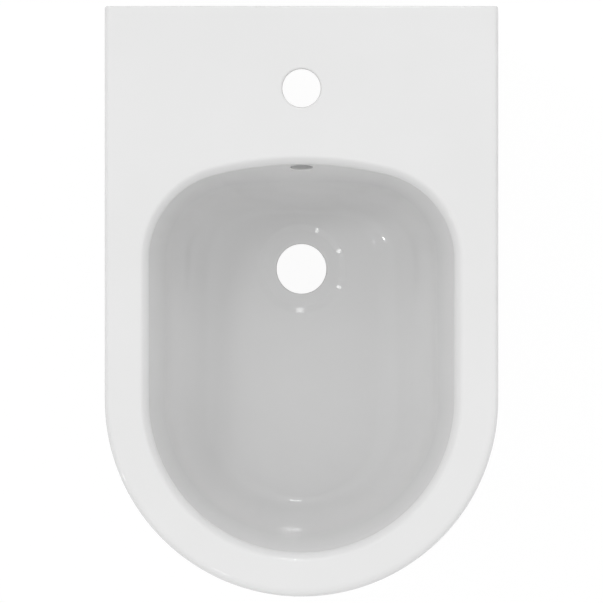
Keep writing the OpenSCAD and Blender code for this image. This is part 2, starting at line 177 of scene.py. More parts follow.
def bowl_outline(edge, grow):
    """Points of the bowl's D, grown outwards."""
    half, front, corner, back_r, back = edge
    corner_x, centre_y = half - corner, back - back_r
    corner_y = centre_y + sqrt((back_r - corner) ** 2 - corner_x**2)
    turn = degrees(acos(corner_x / (back_r - corner)))
    wide, round_r, bow_r = half + grow, corner + grow, back_r + grow
    return (
        arc((0, front), wide, 180, 360, 5 * BOWL_FINE)
        + line((wide, front), (wide, corner_y), BOWL_FINE)
        + arc((corner_x, corner_y), round_r, 0, turn, BOWL_FINE + 1)
        + arc((0, centre_y), bow_r, turn, 180 - turn, BOWL_FINE)
        + arc((-corner_x, corner_y), round_r, 180 - turn, 180, BOWL_FINE + 1)
        + line((-wide, corner_y), (-wide, front), BOWL_FINE)
    )


def rim_ring(grow, z):
    """The rim's D, grown outwards, at a height."""
    return [(x, y, z) for x, y in bowl_outline(RIM_EDGE, grow)]


print("points in a bowl ring:", len(rim_ring(0, RIM_Z)))

# %% [markdown]
# ## Rings and skins
#
# The casting is a stack of rings: up the skirt, over the rim, down the bowl, through the waste,
# and back up inside. The first ring is a circle from `create_circle`, whose corners go to the
# outline's points. Each further ring is extruded from the one before, and its corners move to
# their places. `bridge_loops` would join ready rings, but between two rings in one plane it can't
# tell which way round they run. A subdivision surface would be quicker to draw, but it shrinks
# from its cage, and here each ring sits at a true size.

# %% Helpers for rings
def ring(bm, points):
    """A closed loop of edges through the points."""
    loop = bmesh.ops.create_circle(bm, segments=len(points), radius=1)["verts"]
    for vert, point in zip(loop, points):
        vert.co = point
    return loop


def loop_edges(loop):
    """The edges that join a ring's corners one after another."""
    pairs = zip(loop, loop[1:] + loop[:1])
    return [next(e for e in a.link_edges if e.other_vert(a) is b) for a, b in pairs]


def new_items(made, kind):
    """The new corners, or the new faces, that an operator made."""
    return [item for item in made["geom"] if isinstance(item, kind)]


def extruded(bm, loop, points, finish):
    """Extrudes a loop, moves its new corners to the points and returns them in the same order."""
    made = bmesh.ops.extrude_edge_only(bm, edges=loop_edges(loop))
    fresh = set(new_items(made, bmesh.types.BMVert))
    for face in new_items(made, bmesh.types.BMFace):
        face.material_index = finish
    other_ends = [[e.other_vert(v) for e in v.link_edges] for v in loop]
    following = [next(v for v in ends if v in fresh) for ends in other_ends]
    for vert, point in zip(following, points):
        vert.co = point
    return following


def skin(bm, rings, finish=0, start=None):
    """Skins a stack of rings, each a list of points, and returns its first and last loop."""
    first = last = start or ring(bm, rings[0])
    for points in rings if start else rings[1:]:
        last = extruded(bm, last, points, finish)
    return first, last


def fill(bm, loops, finish=0):
    """Fills the level area between several rings."""
    edges = [e for loop in loops for e in loop_edges(loop)]
    made = bmesh.ops.triangle_fill(
        bm, edges=edges, use_beauty=True, use_dissolve=False, normal=(0, 0, 1)
    )
    for face in new_items(made, bmesh.types.BMFace):
        face.material_index = finish


# %% Helpers for profiles and pieces
def softened(corners, radii, steps=5):
    """An open profile of straight runs, with each inner corner rounded to its radius."""
    points = [corners[0]]
    for before, here, after, radius in zip(corners, corners[1:], corners[2:], radii):
        a, b, c = (Vector((*p, 0)) for p in (before, here, after))
        into, out = (a - b).normalized(), (c - b).normalized()
        half = into.angle(out) / 2
        reach = radius / tan(half)
        centre = b + (into + out).normalized() * (radius / sin(half))
        first, last = b + into * reach - centre, b + out * reach - centre
        for i in range(steps + 1):
            spoke = first.lerp(last, i / steps).normalized() * radius
            points.append(tuple((centre + spoke)[:2]))
    return points + [corners[-1]]


def solid_piece(name, bm):
    """Ends a bmesh as an object of that name, with its normals outwards."""
    bmesh.ops.remove_doubles(bm, verts=bm.verts, dist=WELD)
    bmesh.ops.recalc_face_normals(bm, faces=bm.faces)
    mesh = bpy.data.meshes.new(name)
    bm.to_mesh(mesh)
    bm.free()
    piece = bpy.data.objects.new(name, mesh)
    bpy.context.scene.collection.objects.link(piece)
    return piece


def prism(points, length, finish=0):
    """A closed solid: the outline through the points, extruded by the vector."""
    bm = bmesh.new()
    outline = bmesh.ops.contextual_create(bm, geom=loop_edges(ring(bm, points)))["faces"]
    made = bmesh.ops.extrude_face_region(bm, geom=outline)
    bmesh.ops.translate(bm, vec=length, verts=new_items(made, bmesh.types.BMVert))
    return finished(bm, finish)


def tube(rings, finish=0):
    """A closed solid: a stack of rings with both ends filled."""
    bm = bmesh.new()
    for end in skin(bm, rings):
        bmesh.ops.contextual_create(bm, geom=loop_edges(end))
    return finished(bm, finish)


def finished(bm, finish):
    """Gives every face of a new solid its material slot and an outward normal."""
    bmesh.ops.recalc_face_normals(bm, faces=bm.faces)
    for face in bm.faces:
        face.material_index = finish
    return bm


def carve(piece, tool, operation="DIFFERENCE"):
    """Joins a solid to a piece or cuts it away, and then drops the solid."""
    cutter = solid_piece("cutter", tool)
    boolean = piece.modifiers.new("boolean", "BOOLEAN")
    boolean.object = cutter
    boolean.operation = operation
    boolean.solver = "EXACT"
    evaluated = piece.evaluated_get(bpy.context.evaluated_depsgraph_get())
    carved = bpy.data.meshes.new_from_object(evaluated)
    piece.modifiers.clear()
    piece.data = carved
    bpy.data.objects.remove(cutter)


CREASE_ANGLE = 35


def shade(piece):
    """Smooth shading, led by the larger faces, with a crease along sharp edges."""
    bm = bmesh.new()
    bm.from_mesh(piece.data)
    for face in bm.faces:
        face.smooth = True
    for edge in bm.edges:
        edge.smooth = edge.calc_face_angle(0) < radians(CREASE_ANGLE)
    open_edges = sum(not edge.is_manifold for edge in bm.edges)
    volume = round(bm.calc_volume() * 1e6, 2)
    print(piece.name, len(bm.faces), "faces,", open_edges, "open edges,", volume, "ml")
    bm.to_mesh(piece.data)
    bm.free()
    weighted = piece.modifiers.new("normals", "WEIGHTED_NORMAL")
    weighted.keep_sharp = True


# %% [markdown]
# ## The outside of the skirt
#
# The foot stands in by 30 mm so that toes fit under the rim. Above it the wall swells out in a
# soft S and ends in an upright band. The rim's outer edge is rounded: widest in front, less at
# the sides, and only a little along the wall, where a tight joint is wanted. Each fillet is
# followed by a ring on the flat, so that the deck stays flat.

# %% Skirt rings
def skirt_half(z):
    """Half width of the skirt at a height: upright foot, S curve, upright band."""
    share = (z - FOOT_HEIGHT) / (RIM_Z - BAND_HEIGHT - FOOT_HEIGHT)
    swell = (1 - cos(pi * min(1, max(0, share)))) / 2
    return HALF_WIDTH - FOOT_INSET + FOOT_INSET * swell


def skirt_ring(z):
    """Ring of the outer skin at a height."""
    return [(x, y, z) for (x, y), _ in skirt_outline(skirt_half(z), BACK_Y, CORNER_R)]


def edge_ring(base_z, up, turn, wide, high, back_r, half, swell=0.0, flat=0.0):
    """Ring on a rounded edge. turn runs from 0 at the wall to 90 degrees on the flat, and flat goes
    further in. The edge is a quarter of an ellipse, wide and high, and swells towards the front."""
    inwards, along = quarter(turn)
    tight = mix(CORNER_R, TIGHT_CORNER_R, turn / 90)
    outline = skirt_outline(half - wide * inwards - flat, BACK_Y - back_r * inwards - flat, tight)
    points = []
    for (x, y), share in outline:
        drawn = 1 - swell * inwards * max(0, FRONT_Y - y) / half**2
        z = base_z - up * mix(high, back_r, share) * along
        points.append((x * drawn, FRONT_Y + (y - FRONT_Y) * drawn, z))
    return points


S_STEPS = 30
EDGE_STEPS = 10
FOOT_STEPS = 4
FOOT_LINES = [8 * MM, 30 * MM, 52 * MM]
FLAT_STEP = 1.2 * MM


def outer_rings():
    """Rings from the foot's underside up the skirt and over the rim's outer edge."""
    foot = HALF_WIDTH - FOOT_INSET
    turns = [90 * i / FOOT_STEPS for i in range(FOOT_STEPS + 1)]
    sizes = (FOOT_EDGE_R, FOOT_EDGE_R, FOOT_EDGE_R, foot)
    rings = [edge_ring(0, -1, 90, *sizes, flat=FLAT_STEP)]
    rings += [edge_ring(0, -1, t, *sizes) for t in reversed(turns)]
    heights = FOOT_LINES + evenly(FOOT_HEIGHT, RIM_Z - BAND_HEIGHT, S_STEPS)
    heights += [RIM_Z - BAND_HEIGHT / 2, RIM_Z - EDGE_H - FLAT_STEP]
    rings += [skirt_ring(z) for z in heights]
    turns = [90 * i / EDGE_STEPS for i in range(EDGE_STEPS + 1)]
    sizes = (EDGE_W, EDGE_H, BACK_EDGE_R, HALF_WIDTH, EDGE_SWELL)
    rings += [edge_ring(RIM_Z, 1, t, *sizes) for t in turns]
    rings.append(edge_ring(RIM_Z, 1, 90, *sizes, flat=FLAT_STEP))
    return rings


# %% [markdown]
# ## The bowl
#
# The lip leaves the flat rim quickly, runs down at about 40 degrees, and turns into a wall that
# leans in by 14 degrees. Below it a cubic curve turns the wall into the floor, and the floor
# falls a little towards the waste from every side. The waste sits in a very shallow seat, where
# the waste fitting's washer lies. Modelling by hand with soft selection could give a look like
# this, but a rule for the section keeps the wall and its shading even.

# %% Bowl sizes
LIP_R = 7.7 * MM
LIP_SPREAD = 0.6 * MM
LIP_SINK = 2.2 * MM
LIP_HOLD = 0.75
WALL_LEAN = 14
BOWL_DEPTH = 135 * MM
BOWL_WALL = 12 * MM
WALL_SHARE = 0.48
COVE_PULL = 0.6
FLOOR_FALL = 0.06
SEAT_R = 38.5 * MM
SEAT_DEPTH = 1 * MM
SEAT_SLOPE = 2.5 * MM
SEAT_SOFT_R = 12 * MM
WASTE_EDGE_R = 1 * MM
WASTE_END_R = 1.5 * MM
BOSS_R = 40 * MM
BOSS_EDGE_R = 2.5 * MM
WASTE_LENGTH = 38 * MM
FLOOR_Z = RIM_Z - BOWL_DEPTH
SEAT_Z = FLOOR_Z - SEAT_DEPTH
BOSS_Z = SEAT_Z - WASTE_LENGTH
LIP_W = LIP_R * cos(radians(WALL_LEAN))
LIP_H = LIP_R * (1 - sin(radians(WALL_LEAN)))
print("lip is", round(LIP_W / MM, 2), "mm wide and", round(LIP_H / MM, 2), "mm high")


# %% Section of the lip
LIP_STEPS = 12
LIP_FINE = 20


def lip_profile():
    """Points (outwards from the wall's top, height under the rim). The slope holds in its middle."""
    points = [(0.0, 0.0)]
    for i in range(LIP_STEPS * LIP_FINE):
        share = (i + 0.5) / (LIP_STEPS * LIP_FINE)
        slope = radians(90 - WALL_LEAN) * (share + LIP_HOLD * sin(2 * pi * share) / (2 * pi))
        points.append((points[-1][0] + cos(slope), points[-1][1] + sin(slope)))
    run, fall = points[-1]
    start, end = LIP_W + LIP_SPREAD, -LIP_SINK * tan(radians(WALL_LEAN))
    return [(mix(start, end, x / run), (LIP_H + LIP_SINK) * z / fall) for x, z in points[::LIP_FINE]]


print("the lip's middle is", [round(x / MM, 2) for x in lip_profile()[LIP_STEPS // 2]])

# %% Section of the bowl's side
KNEE_SHARE = 0.25


def floor_height(x, y, drop):
    """Height of the floor, which falls to the waste from every side."""
    return FLOOR_Z - drop + FLOOR_FALL * (hypot(x, y - WASTE_Y) - SEAT_R)


def on_floor(points, drop=0.0):
    """The points at the floor's height, or a drop below it."""
    return [(x, y, floor_height(x, y, drop)) for x, y in points]


def side_point(top, bottom, share):
    """Point on the bowl's side: down the wall up to KNEE_SHARE, then round the cove up to 1."""
    run, fall = hypot(bottom[0] - top[0], bottom[1] - top[1]), top[2] - bottom[2]
    wall_run = WALL_SHARE * fall * tan(radians(WALL_LEAN)) / run
    knee, foot = (wall_run, WALL_SHARE), (1.0, 1.0)
    corner_in = wall_run / WALL_SHARE
    corner = (corner_in, 1 - FLOOR_FALL * (1 - corner_in) * run / fall)
    if share < KNEE_SHARE:
        across, down = mix((0.0, 0.0), knee, share / KNEE_SHARE)
    else:
        v = (share - KNEE_SHARE) / (1 - KNEE_SHARE)
        pulls = (knee, mix(knee, corner, COVE_PULL), mix(foot, corner, COVE_PULL), foot)
        weights = ((1 - v) ** 3, 3 * v * (1 - v) ** 2, 3 * v * v * (1 - v), v**3)
        across, down = (sum(w * p[k] for w, p in zip(weights, pulls)) for k in (0, 1))
    return tuple(mix(a, b, way) for a, b, way in zip(top, bottom, (across, across, down)))


def side_rings(top, bottom, shares):
    """Rings between the rim's line and the floor's line."""
    return [[side_point(a, b, share) for a, b in zip(top, bottom)] for share in shares]


# %% Rings round the waste
def towards_waste(points, radius):
    """The same points, drawn in to a circle round the waste."""
    drawn = []
    for point in points:
        reach = hypot(point[0], point[1] - WASTE_Y)
        drawn.append((point[0] * radius / reach, WASTE_Y + (point[1] - WASTE_Y) * radius / reach))
    return drawn


def waste_rings(points, profile):
    """Rings for a profile of (radius, height) round the waste."""
    return [[(x, y, z) for x, y in towards_waste(points, r)] for r, z in profile]


# %% Rings of the bowl, from the deck down to the boss
WALL_SHARES = [0.1, 0.18]
COVE_STEPS = 24
FLOOR_STEPS = 5


def bowl_rings():
    """The inside of the bowl, the seat, the waste hole and the boss."""
    lip = lip_profile()
    rings = [rim_ring(lip[0][0] + FLAT_STEP, RIM_Z)]
    rings += [rim_ring(out, RIM_Z - down) for out, down in lip[:-1]]
    top, floor = rim_ring(0, RIM_Z - LIP_H), on_floor(bowl_outline(FLOOR_EDGE, 0))
    lip_end = KNEE_SHARE * LIP_SINK / (WALL_SHARE * (BOWL_DEPTH - LIP_H))
    rings += side_rings(top, floor, [lip_end] + WALL_SHARES + evenly(KNEE_SHARE, 1, COVE_STEPS))
    seat_side = on_floor(towards_waste(floor, SEAT_R + 2 * SEAT_SLOPE))
    for i in range(1, FLOOR_STEPS + 1):
        rings.append([mix(a, b, i / FLOOR_STEPS) for a, b in zip(floor, seat_side)])
    seat = [
        (SEAT_R + 2 * SEAT_SLOPE, FLOOR_Z + 2 * SEAT_SLOPE * FLOOR_FALL),
        (SEAT_R + SEAT_SLOPE, FLOOR_Z + SEAT_SLOPE * FLOOR_FALL),
        (SEAT_R - SEAT_DEPTH - SEAT_SLOPE, SEAT_Z), (WASTE_R, SEAT_Z), (WASTE_R, BOSS_Z),
        (BOSS_R, BOSS_Z), (BOSS_R, FLOOR_Z - BOWL_WALL),
    ]
    softness = [SEAT_SOFT_R, SEAT_SOFT_R, WASTE_EDGE_R, WASTE_END_R, BOSS_EDGE_R]
    return rings + waste_rings(floor, softened(seat, softness)[1:-1])


# %% [markdown]
# ## The hollow side
#
# Under the glaze the casting is hollow and open at the back and below. Its inner faces follow the
# outer ones at the wall's thickness. A flange round the foot carries the weight. The fitter looks
# in there, and so does anyone who turns the piece over, so it is as real as the outside.

# %% Rings of the hollow, from the bowl's underside to the foot
INNER_CORNER_R = 8 * MM
INNER_FILLET = 6 * MM
FLANGE_DRAFT = 1.5 * MM
FLANGE_R = 2 * MM
LEDGE_R = 4 * MM
LEDGE_Z = FLANGE_WALL + 8 * MM
BOSS_FLAT = 4 * MM
UNDER_Z = RIM_Z - DECK_WALL
UNDER_TOP_Z = UNDER_Z + 1 * MM
UNDER_STEPS = 12
UNDER_SHARES = [0.16, 0.07]
HOLLOW_STEPS = 20


def inner_ring(half, z, back_inset=SKIRT_WALL, corner=INNER_CORNER_R):
    """Ring of the hollow's skin."""
    return [(x, y, z) for (x, y), _ in skirt_outline(half, BACK_Y - back_inset, corner)]


def shell_rings():
    """The bowl's underside, from the boss up to the deck."""
    top = rim_ring(BOWL_WALL, UNDER_TOP_Z)
    floor = on_floor(bowl_outline(FLOOR_EDGE, BOWL_WALL / 2), BOWL_WALL)
    rings = waste_rings(floor, [(BOSS_R + BOSS_FLAT, FLOOR_Z - BOWL_WALL)])
    rings += side_rings(top, floor, evenly(1, KNEE_SHARE, UNDER_STEPS) + UNDER_SHARES)
    for out, up in map(quarter, (30, 60, 90)):
        rings.append(rim_ring(BOWL_WALL + INNER_FILLET * out, UNDER_Z - INNER_FILLET * up))
    return rings + [rim_ring(BOWL_WALL + INNER_FILLET + FLAT_STEP, UNDER_Z)]


def hollow_rings():
    """The skirt's inner skin, from the deck down, and the foot flange."""
    rings = []
    for out, up in map(quarter, (90, 60, 30, 0)):
        inwards, z = INNER_FILLET * out, UNDER_Z - INNER_FILLET * up
        rings.append(inner_ring(skirt_half(z) - SKIRT_WALL - inwards, z, SKIRT_WALL + inwards))
    heights = evenly(RIM_Z - BAND_HEIGHT, FOOT_HEIGHT, HOLLOW_STEPS) + [LEDGE_Z]
    rings += [inner_ring(skirt_half(z) - SKIRT_WALL, z) for z in heights]
    foot = HALF_WIDTH - FOOT_INSET
    ledge = [
        (foot - SKIRT_WALL, LEDGE_Z), (foot - SKIRT_WALL, FLANGE_WALL + FLANGE_DRAFT),
        (foot - FLANGE_WIDTH, FLANGE_WALL), (foot - FLANGE_WIDTH, 0), (foot, 0),
    ]
    profile = softened(ledge, [LEDGE_R, FLANGE_R, FOOT_EDGE_R], 4)[1:-1]
    return rings + [inner_ring(half, z, corner=CORNER_R) for half, z in profile]


# %% [markdown]
# ## One closed skin
#
# The rings meet in two flat areas that have holes: the deck and its underside. `triangle_fill`
# covers a flat area between several loops. The tap hole joins the two. Everything that the glaze
# covers has material 0, and the bare inside of the casting has material 1.

# %% Join the rings
TAP_FLAT = 3 * MM
TAP_EDGE_R = 2 * MM
TAP_UNDER_R = 1 * MM
TAP_POINTS = 72
GLAZED, BARE = 0, 1


def tap_rings():
    """The tap hole, from the deck to its underside."""
    wide = TAP_R + TAP_FLAT
    wall = [(wide, RIM_Z), (TAP_R, RIM_Z), (TAP_R, UNDER_Z), (wide, UNDER_Z)]
    profile = softened(wall, [TAP_EDGE_R, TAP_UNDER_R])
    return [[(x, y, z) for x, y in arc((0, TAP_Y), r, 0, 360, TAP_POINTS)] for r, z in profile]


def casting():
    """The whole casting, before the openings are cut."""
    bm = bmesh.new()
    outer = outer_rings()
    _, deck_edge = skin(bm, outer, GLAZED)
    deck_lip, boss_top = skin(bm, bowl_rings(), GLAZED)
    tap_top, tap_bottom = skin(bm, tap_rings(), GLAZED)
    _, under_bowl = skin(bm, shell_rings(), BARE, start=boss_top)
    under_skirt, _ = skin(bm, hollow_rings() + [outer[0]], BARE)
    fill(bm, [deck_edge, deck_lip, tap_top], GLAZED)
    fill(bm, [under_skirt, under_bowl, tap_bottom], BARE)
    bmesh.ops.remove_doubles(bm, verts=bm.verts, dist=WELD)
    return bm


china = solid_piece("china_body", casting())
print("rings joined:", len(china.data.polygons), "faces")

# %% [markdown]
# ## The overflow passage and the openings
#
# The slot under the back lip leads into a passage that is cast onto the back of the bowl. It
# follows the bowl down and opens into the side of the waste hole. The real passage is shaped by
# the mould, and the slot, the side holes and the arch at the back are cut while the clay is soft,
# and sponged round. Booleans fit such cuts. The slot and arch cutters are drawn with their flared
# edges in them, so that no edge has to be bevelled later.

# %% The passage's section, from the side
SLOT_W = 20 * MM
SLOT_H = 17.5 * MM
SLOT_R = 7.5 * MM
SLOT_DROP = 10 * MM
PASSAGE_W = 30 * MM
PASSAGE_DEPTH = 11 * MM
PASSAGE_WALL = 8 * MM
PASSAGE_STEPS = 14
PASSAGE_SOFT = 2 * MM
SHELL_SOFT = 4 * MM
SHELL_GAP = 1 * MM
NEAR_SHARE = 0.02


def back_wall(share, out):
    """Point (y, z) a distance outside the bowl's back wall, on the middle line."""
    top = (0, RIM_EDGE[4], RIM_Z - LIP_H)
    bottom = (0, FLOOR_EDGE[4], floor_height(0, FLOOR_EDGE[4], 0))
    ends = (max(0, share - NEAR_SHARE), min(1, share + NEAR_SHARE))
    before, after = (Vector(side_point(top, bottom, s)[1:]) for s in ends)
    run = (after - before).normalized()
    y, z = side_point(top, bottom, share)[1:]
    return (y - out * run.y, z + out * run.x)


def passage(spread, width, top_z, end_y, soft, finish):
    """The passage as a solid, grown by spread, with its long edges rounded."""
    near, far = BOWL_WALL - spread, BOWL_WALL + PASSAGE_DEPTH + spread
    shares = evenly(0, 1, PASSAGE_STEPS)
    section = [back_wall(s, near) for s in shares]
    section += [(end_y, FLOOR_Z - near), (end_y, FLOOR_Z - far)]
    section += [back_wall(s, far) for s in reversed(shares)]
    bm = prism([(-width / 2, y, z) for y, z in section], (width, 0, 0), finish)
    everything = bm.verts[:] + bm.edges[:] + bm.faces[:]
    bmesh.ops.bisect_plane(
        bm, geom=everything, plane_co=(0, 0, top_z), plane_no=(0, 0, 1), clear_outer=True
    )
    bmesh.ops.holes_fill(bm, edges=[e for e in bm.edges if e.is_boundary])
    bm.normal_update()
    side_faces = {f for f in bm.faces if abs(f.normal.x) > 0.9}
    outer_faces = {f for f in bm.faces if f.normal.y - f.normal.z > 0.5}
    corners = [e for e in bm.edges if {*e.link_faces} & side_faces and {*e.link_faces} & outer_faces]
    bmesh.ops.bevel(
        bm, geom=corners, offset=soft, segments=3, profile=0.5, affect="EDGES", material=-1
    )
    return finished(bm, finish)


# %% The cutters
SLOT_FLARE = 0.8 * MM
SLOT_LIP = 0.6 * MM
SLOT_FLARE_DEPTH = 1 * MM
SLOT_FALL = 0.1
SLOT_REACH = 0.75
SLOT_POINTS = 6
SLOT_MOUTH = (1.1, -1 * MM)
ARCH_HEIGHT = 325 * MM
ARCH_CORNER_R = 40 * MM
ARCH_FLARE = 2 * MM
ARCH_STEPS = 16
BELOW_FLOOR = -5 * MM
PAST_BACK = 2 * MM
PAST_INSIDE = 1.5 * MM
SIDE_HOLE_R = 9 * MM
HOLE_POINTS = 48
screw_low, screw_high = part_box("side_screw_right")
FIXING_Y = (screw_low.y + screw_high.y) / 2
FIXING_Z = (screw_low.z + screw_high.z) / 2


def slot_ring(grow, depth):
    """The slot's rounded oblong, a depth behind the leaning wall. grow flares it. Each corner's arc
    turns one step past 90 degrees, because arc leaves its last point out."""
    wide, high = SLOT_W / 2 - SLOT_R, SLOT_H / 2 - SLOT_R
    middle_z = RIM_Z - SLOT_DROP - SLOT_H / 2
    lean = radians(WALL_LEAN)
    middle = Vector((0, RIM_EDGE[4] - (RIM_Z - LIP_H - middle_z) * tan(lean), middle_z))
    points = []
    for corner, (right, up) in enumerate(((1, 1), (-1, 1), (-1, -1), (1, -1))):
        start, turn = 90 * corner, 90 * SLOT_POINTS / (SLOT_POINTS - 1)
        for x, rise in arc((right * wide, up * high), SLOT_R, start, start + turn, SLOT_POINTS):
            x *= 1 + grow * SLOT_FLARE / (SLOT_W / 2)
            lower = max(0, -rise) / (SLOT_H / 2)
            rise *= 1 + grow * (SLOT_FLARE if rise > 0 else SLOT_LIP) / (SLOT_H / 2)
            rise -= lower * SLOT_FALL * max(0, depth)
            on_wall = Vector((x, rise * sin(lean), rise * cos(lean)))
            points.append(middle + on_wall + depth * Vector((0, cos(lean), -sin(lean))))
    return points


def slot_cutter():
    """The slot, scooped out below where it meets the wall."""
    through = BOWL_WALL + SLOT_REACH * PASSAGE_DEPTH
    rings = [slot_ring(0, through), slot_ring(0, SLOT_FLARE_DEPTH)]
    for grow, deep in map(quarter, (15, 30, 45, 60, 72)):
        rings.append(slot_ring(grow, SLOT_FLARE_DEPTH * deep))
    return tube(rings + [slot_ring(*SLOT_MOUTH)], GLAZED)


def arch_ring(y, grow):
    """The arch at the back, open below the floor."""
    half, corner = HALF_WIDTH - FOOT_INSET - FLANGE_WIDTH + grow, ARCH_CORNER_R + grow
    low, high = BELOW_FLOOR, ARCH_HEIGHT + grow
    outline = [(half, low), (half, low / 2)]
    outline += arc((half - corner, high - corner), corner, 0, 90, ARCH_STEPS)
    outline += arc((corner - half, high - corner), corner, 90, 180, ARCH_STEPS)
    outline += [(-half, high - corner), (-half, low / 2), (-half, low)]
    return [(x, y, z) for x, z in outline]


def arch_cutter():
    """The arch with a rounded edge on both faces of the back wall."""
    flare = [(ARCH_FLARE * out, ARCH_FLARE * up) for out, up in map(quarter, (0, 18, 36, 54, 72))]
    inner_y = BACK_Y - SKIRT_WALL
    rings = [arch_ring(BACK_Y + PAST_BACK, 2 * ARCH_FLARE)]
    rings += [arch_ring(BACK_Y - up, out) for out, up in flare[::-1]]
    rings += [arch_ring(inner_y + up, out) for out, up in flare]
    return tube(rings + [arch_ring(inner_y - PAST_INSIDE, 2 * ARCH_FLARE)], GLAZED)


def side_hole_cutter():
    """One rod across the whole foot for both side holes."""
    circle = arc((0, 0), SIDE_HOLE_R, 0, 360, HOLE_POINTS)
    rod = [(-HALF_WIDTH, FIXING_Y + y, FIXING_Z + z) for y, z in circle]
    return prism(rod, (2 * HALF_WIDTH, 0, 0), BARE)


# %% Join the passage and cut the openings
outer_width, shell_end = PASSAGE_W + 2 * PASSAGE_WALL, WASTE_Y + WASTE_R + SHELL_GAP
shell = passage(PASSAGE_WALL, outer_width, UNDER_TOP_Z, shell_end, SHELL_SOFT, BARE)
carve(china, shell, "UNION")
carve(china, passage(0, PASSAGE_W, UNDER_Z, WASTE_Y, PASSAGE_SOFT, GLAZED))
for make_cutter in (slot_cutter, arch_cutter, side_hole_cutter):
    carve(china, make_cutter())
shade(china)
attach(china, "body")
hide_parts("ceramic_body")

# %% [markdown]
# ## The fixing kit
#
# Each side has a moulded bracket on the floor, a square nut in its pocket, a bush in the china,
# and a zinc-plated M6 socket screw with a washer, under a push-in cap. The turned pieces are half
# sections, revolved with `spin` round the screw's axis. A lathe modifier (Screw) would do the
# same, but a spun mesh can be checked and counted at once. Lengths and outer radii are read from
# the imported pieces, so all fits stay as they are there.

# %% Turned pieces
SPIN_STEPS = 64
SCREW_R = 3 * MM
SCREW_GAP = 0.25 * MM
BORE_R = SCREW_R + SCREW_GAP
BUSH_GAP = 0.2 * MM
RECESS_GAP = 0.5 * MM
CAP_GAP = 0.1 * MM
CAP_EDGE = 1.5 * MM
SPIGOT_REACH = 0.42 * MM
SPIGOT_WALL = 1.4 * MM
DOME_STEPS = 14


def span(node):
    """Start and end of a right-hand piece along X, and its largest radius."""
    low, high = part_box(node)
    return low.x, high.x, (high.y - low.y) / 2


def chain(bm, points):
    """An open run of edges through the points, extruded corner by corner."""
    tip = bmesh.ops.create_vert(bm, co=points[0])["vert"][0]
    for point in points[1:]:
        tip = bmesh.ops.extrude_vert_indiv(bm, verts=[tip])["verts"][0]
        tip.co = point


def turned(profile):
    """Revolves a half section of (x, radius) round the X axis."""
    bm = bmesh.new()
    chain(bm, [(x, r, 0) for x, r in profile])
    bmesh.ops.spin(
        bm, geom=bm.verts[:] + bm.edges[:], cent=(0, 0, 0), axis=(1, 0, 0), angle=2 * pi,
        steps=SPIN_STEPS, use_merge=True,
    )
    bmesh.ops.remove_doubles(bm, verts=bm.verts, dist=FINE_WELD)
    return finished(bm, 0)


def closed_section(corners, radii):
    """A closed half section, with each corner's radius in millimetres. 0 leaves it sharp."""
    points = []
    for i, radius in enumerate(radii):
        before, here, after = corners[i - 1], corners[i], corners[(i + 1) % len(corners)]
        points += softened([before, here, after], [radius * MM], 4)[1:-1] if radius else [here]
    return points + points[:1]


def bush():
    """The flanged bush that lines the side hole."""
    start, end, flange_r = span("side_bush_right")
    flange_x, shank_r = HALF_WIDTH - FOOT_INSET, SIDE_HOLE_R - BUSH_GAP
    washer_x, _, washer_r = span("screw_washer_right")
    recess_r = washer_r + RECESS_GAP
    corners = [
        (start, BORE_R), (start, shank_r), (flange_x, shank_r), (flange_x, flange_r),
        (end, flange_r), (end, recess_r), (washer_x, recess_r), (washer_x, BORE_R),
    ]
    section = closed_section(corners, [0.3, 0.6, 0, 0.3, 1.0, 0.3, 0.3, 0.2])
    return solid_piece("bush", turned(section))


def washer():
    """A flat washer with edges rounded by the punch."""
    start, end, radius = span("screw_washer_right")
    corners = [(start, BORE_R), (start, radius), (end, radius), (end, BORE_R)]
    return solid_piece("washer", turned(closed_section(corners, [0.15, 0.15, 0.35, 0.25])))


def cap():
    """The domed cap with its ring spigot."""
    start, end, radius = span("cover_cap_right")
    face_x = span("side_bush_right")[1] + CAP_GAP
    edge_x = face_x + CAP_EDGE
    spigot_r = span("screw_washer_right")[2] + SPIGOT_REACH
    inner_r = spigot_r - SPIGOT_WALL
    dome_r = (radius**2 + (end - edge_x) ** 2) / (2 * (end - edge_x))
    radii = [radius * i / DOME_STEPS for i in range(DOME_STEPS - 1, -1, -1)]
    dome = [(end - dome_r + sqrt(dome_r**2 - r * r), r) for r in radii]
    corners = [
        (face_x, 0), (face_x, inner_r), (start, inner_r), (start, spigot_r), (face_x, spigot_r),
        (face_x, radius), (edge_x, radius), dome[0],
    ]
    soft = softened(corners, [MM * r for r in (0.3, 0.2, 0.5, 0.2, 0.3, 0.6)], 4)
    return solid_piece("cap", turned(soft[:-1] + dome))


# %% The screw and its nut
THREAD_PITCH = 1 * MM
THREAD_DEPTH = 0.5 * MM
THREAD_STEPS = 24
THREAD_GAP = 0.05 * MM
HEAD_EDGE_R = 0.2 * MM
HEAD_DOME_R = 1.4 * MM
HEAD_OVERLAP = 0.5 * MM
SOCKET_CUT = 3 * MM


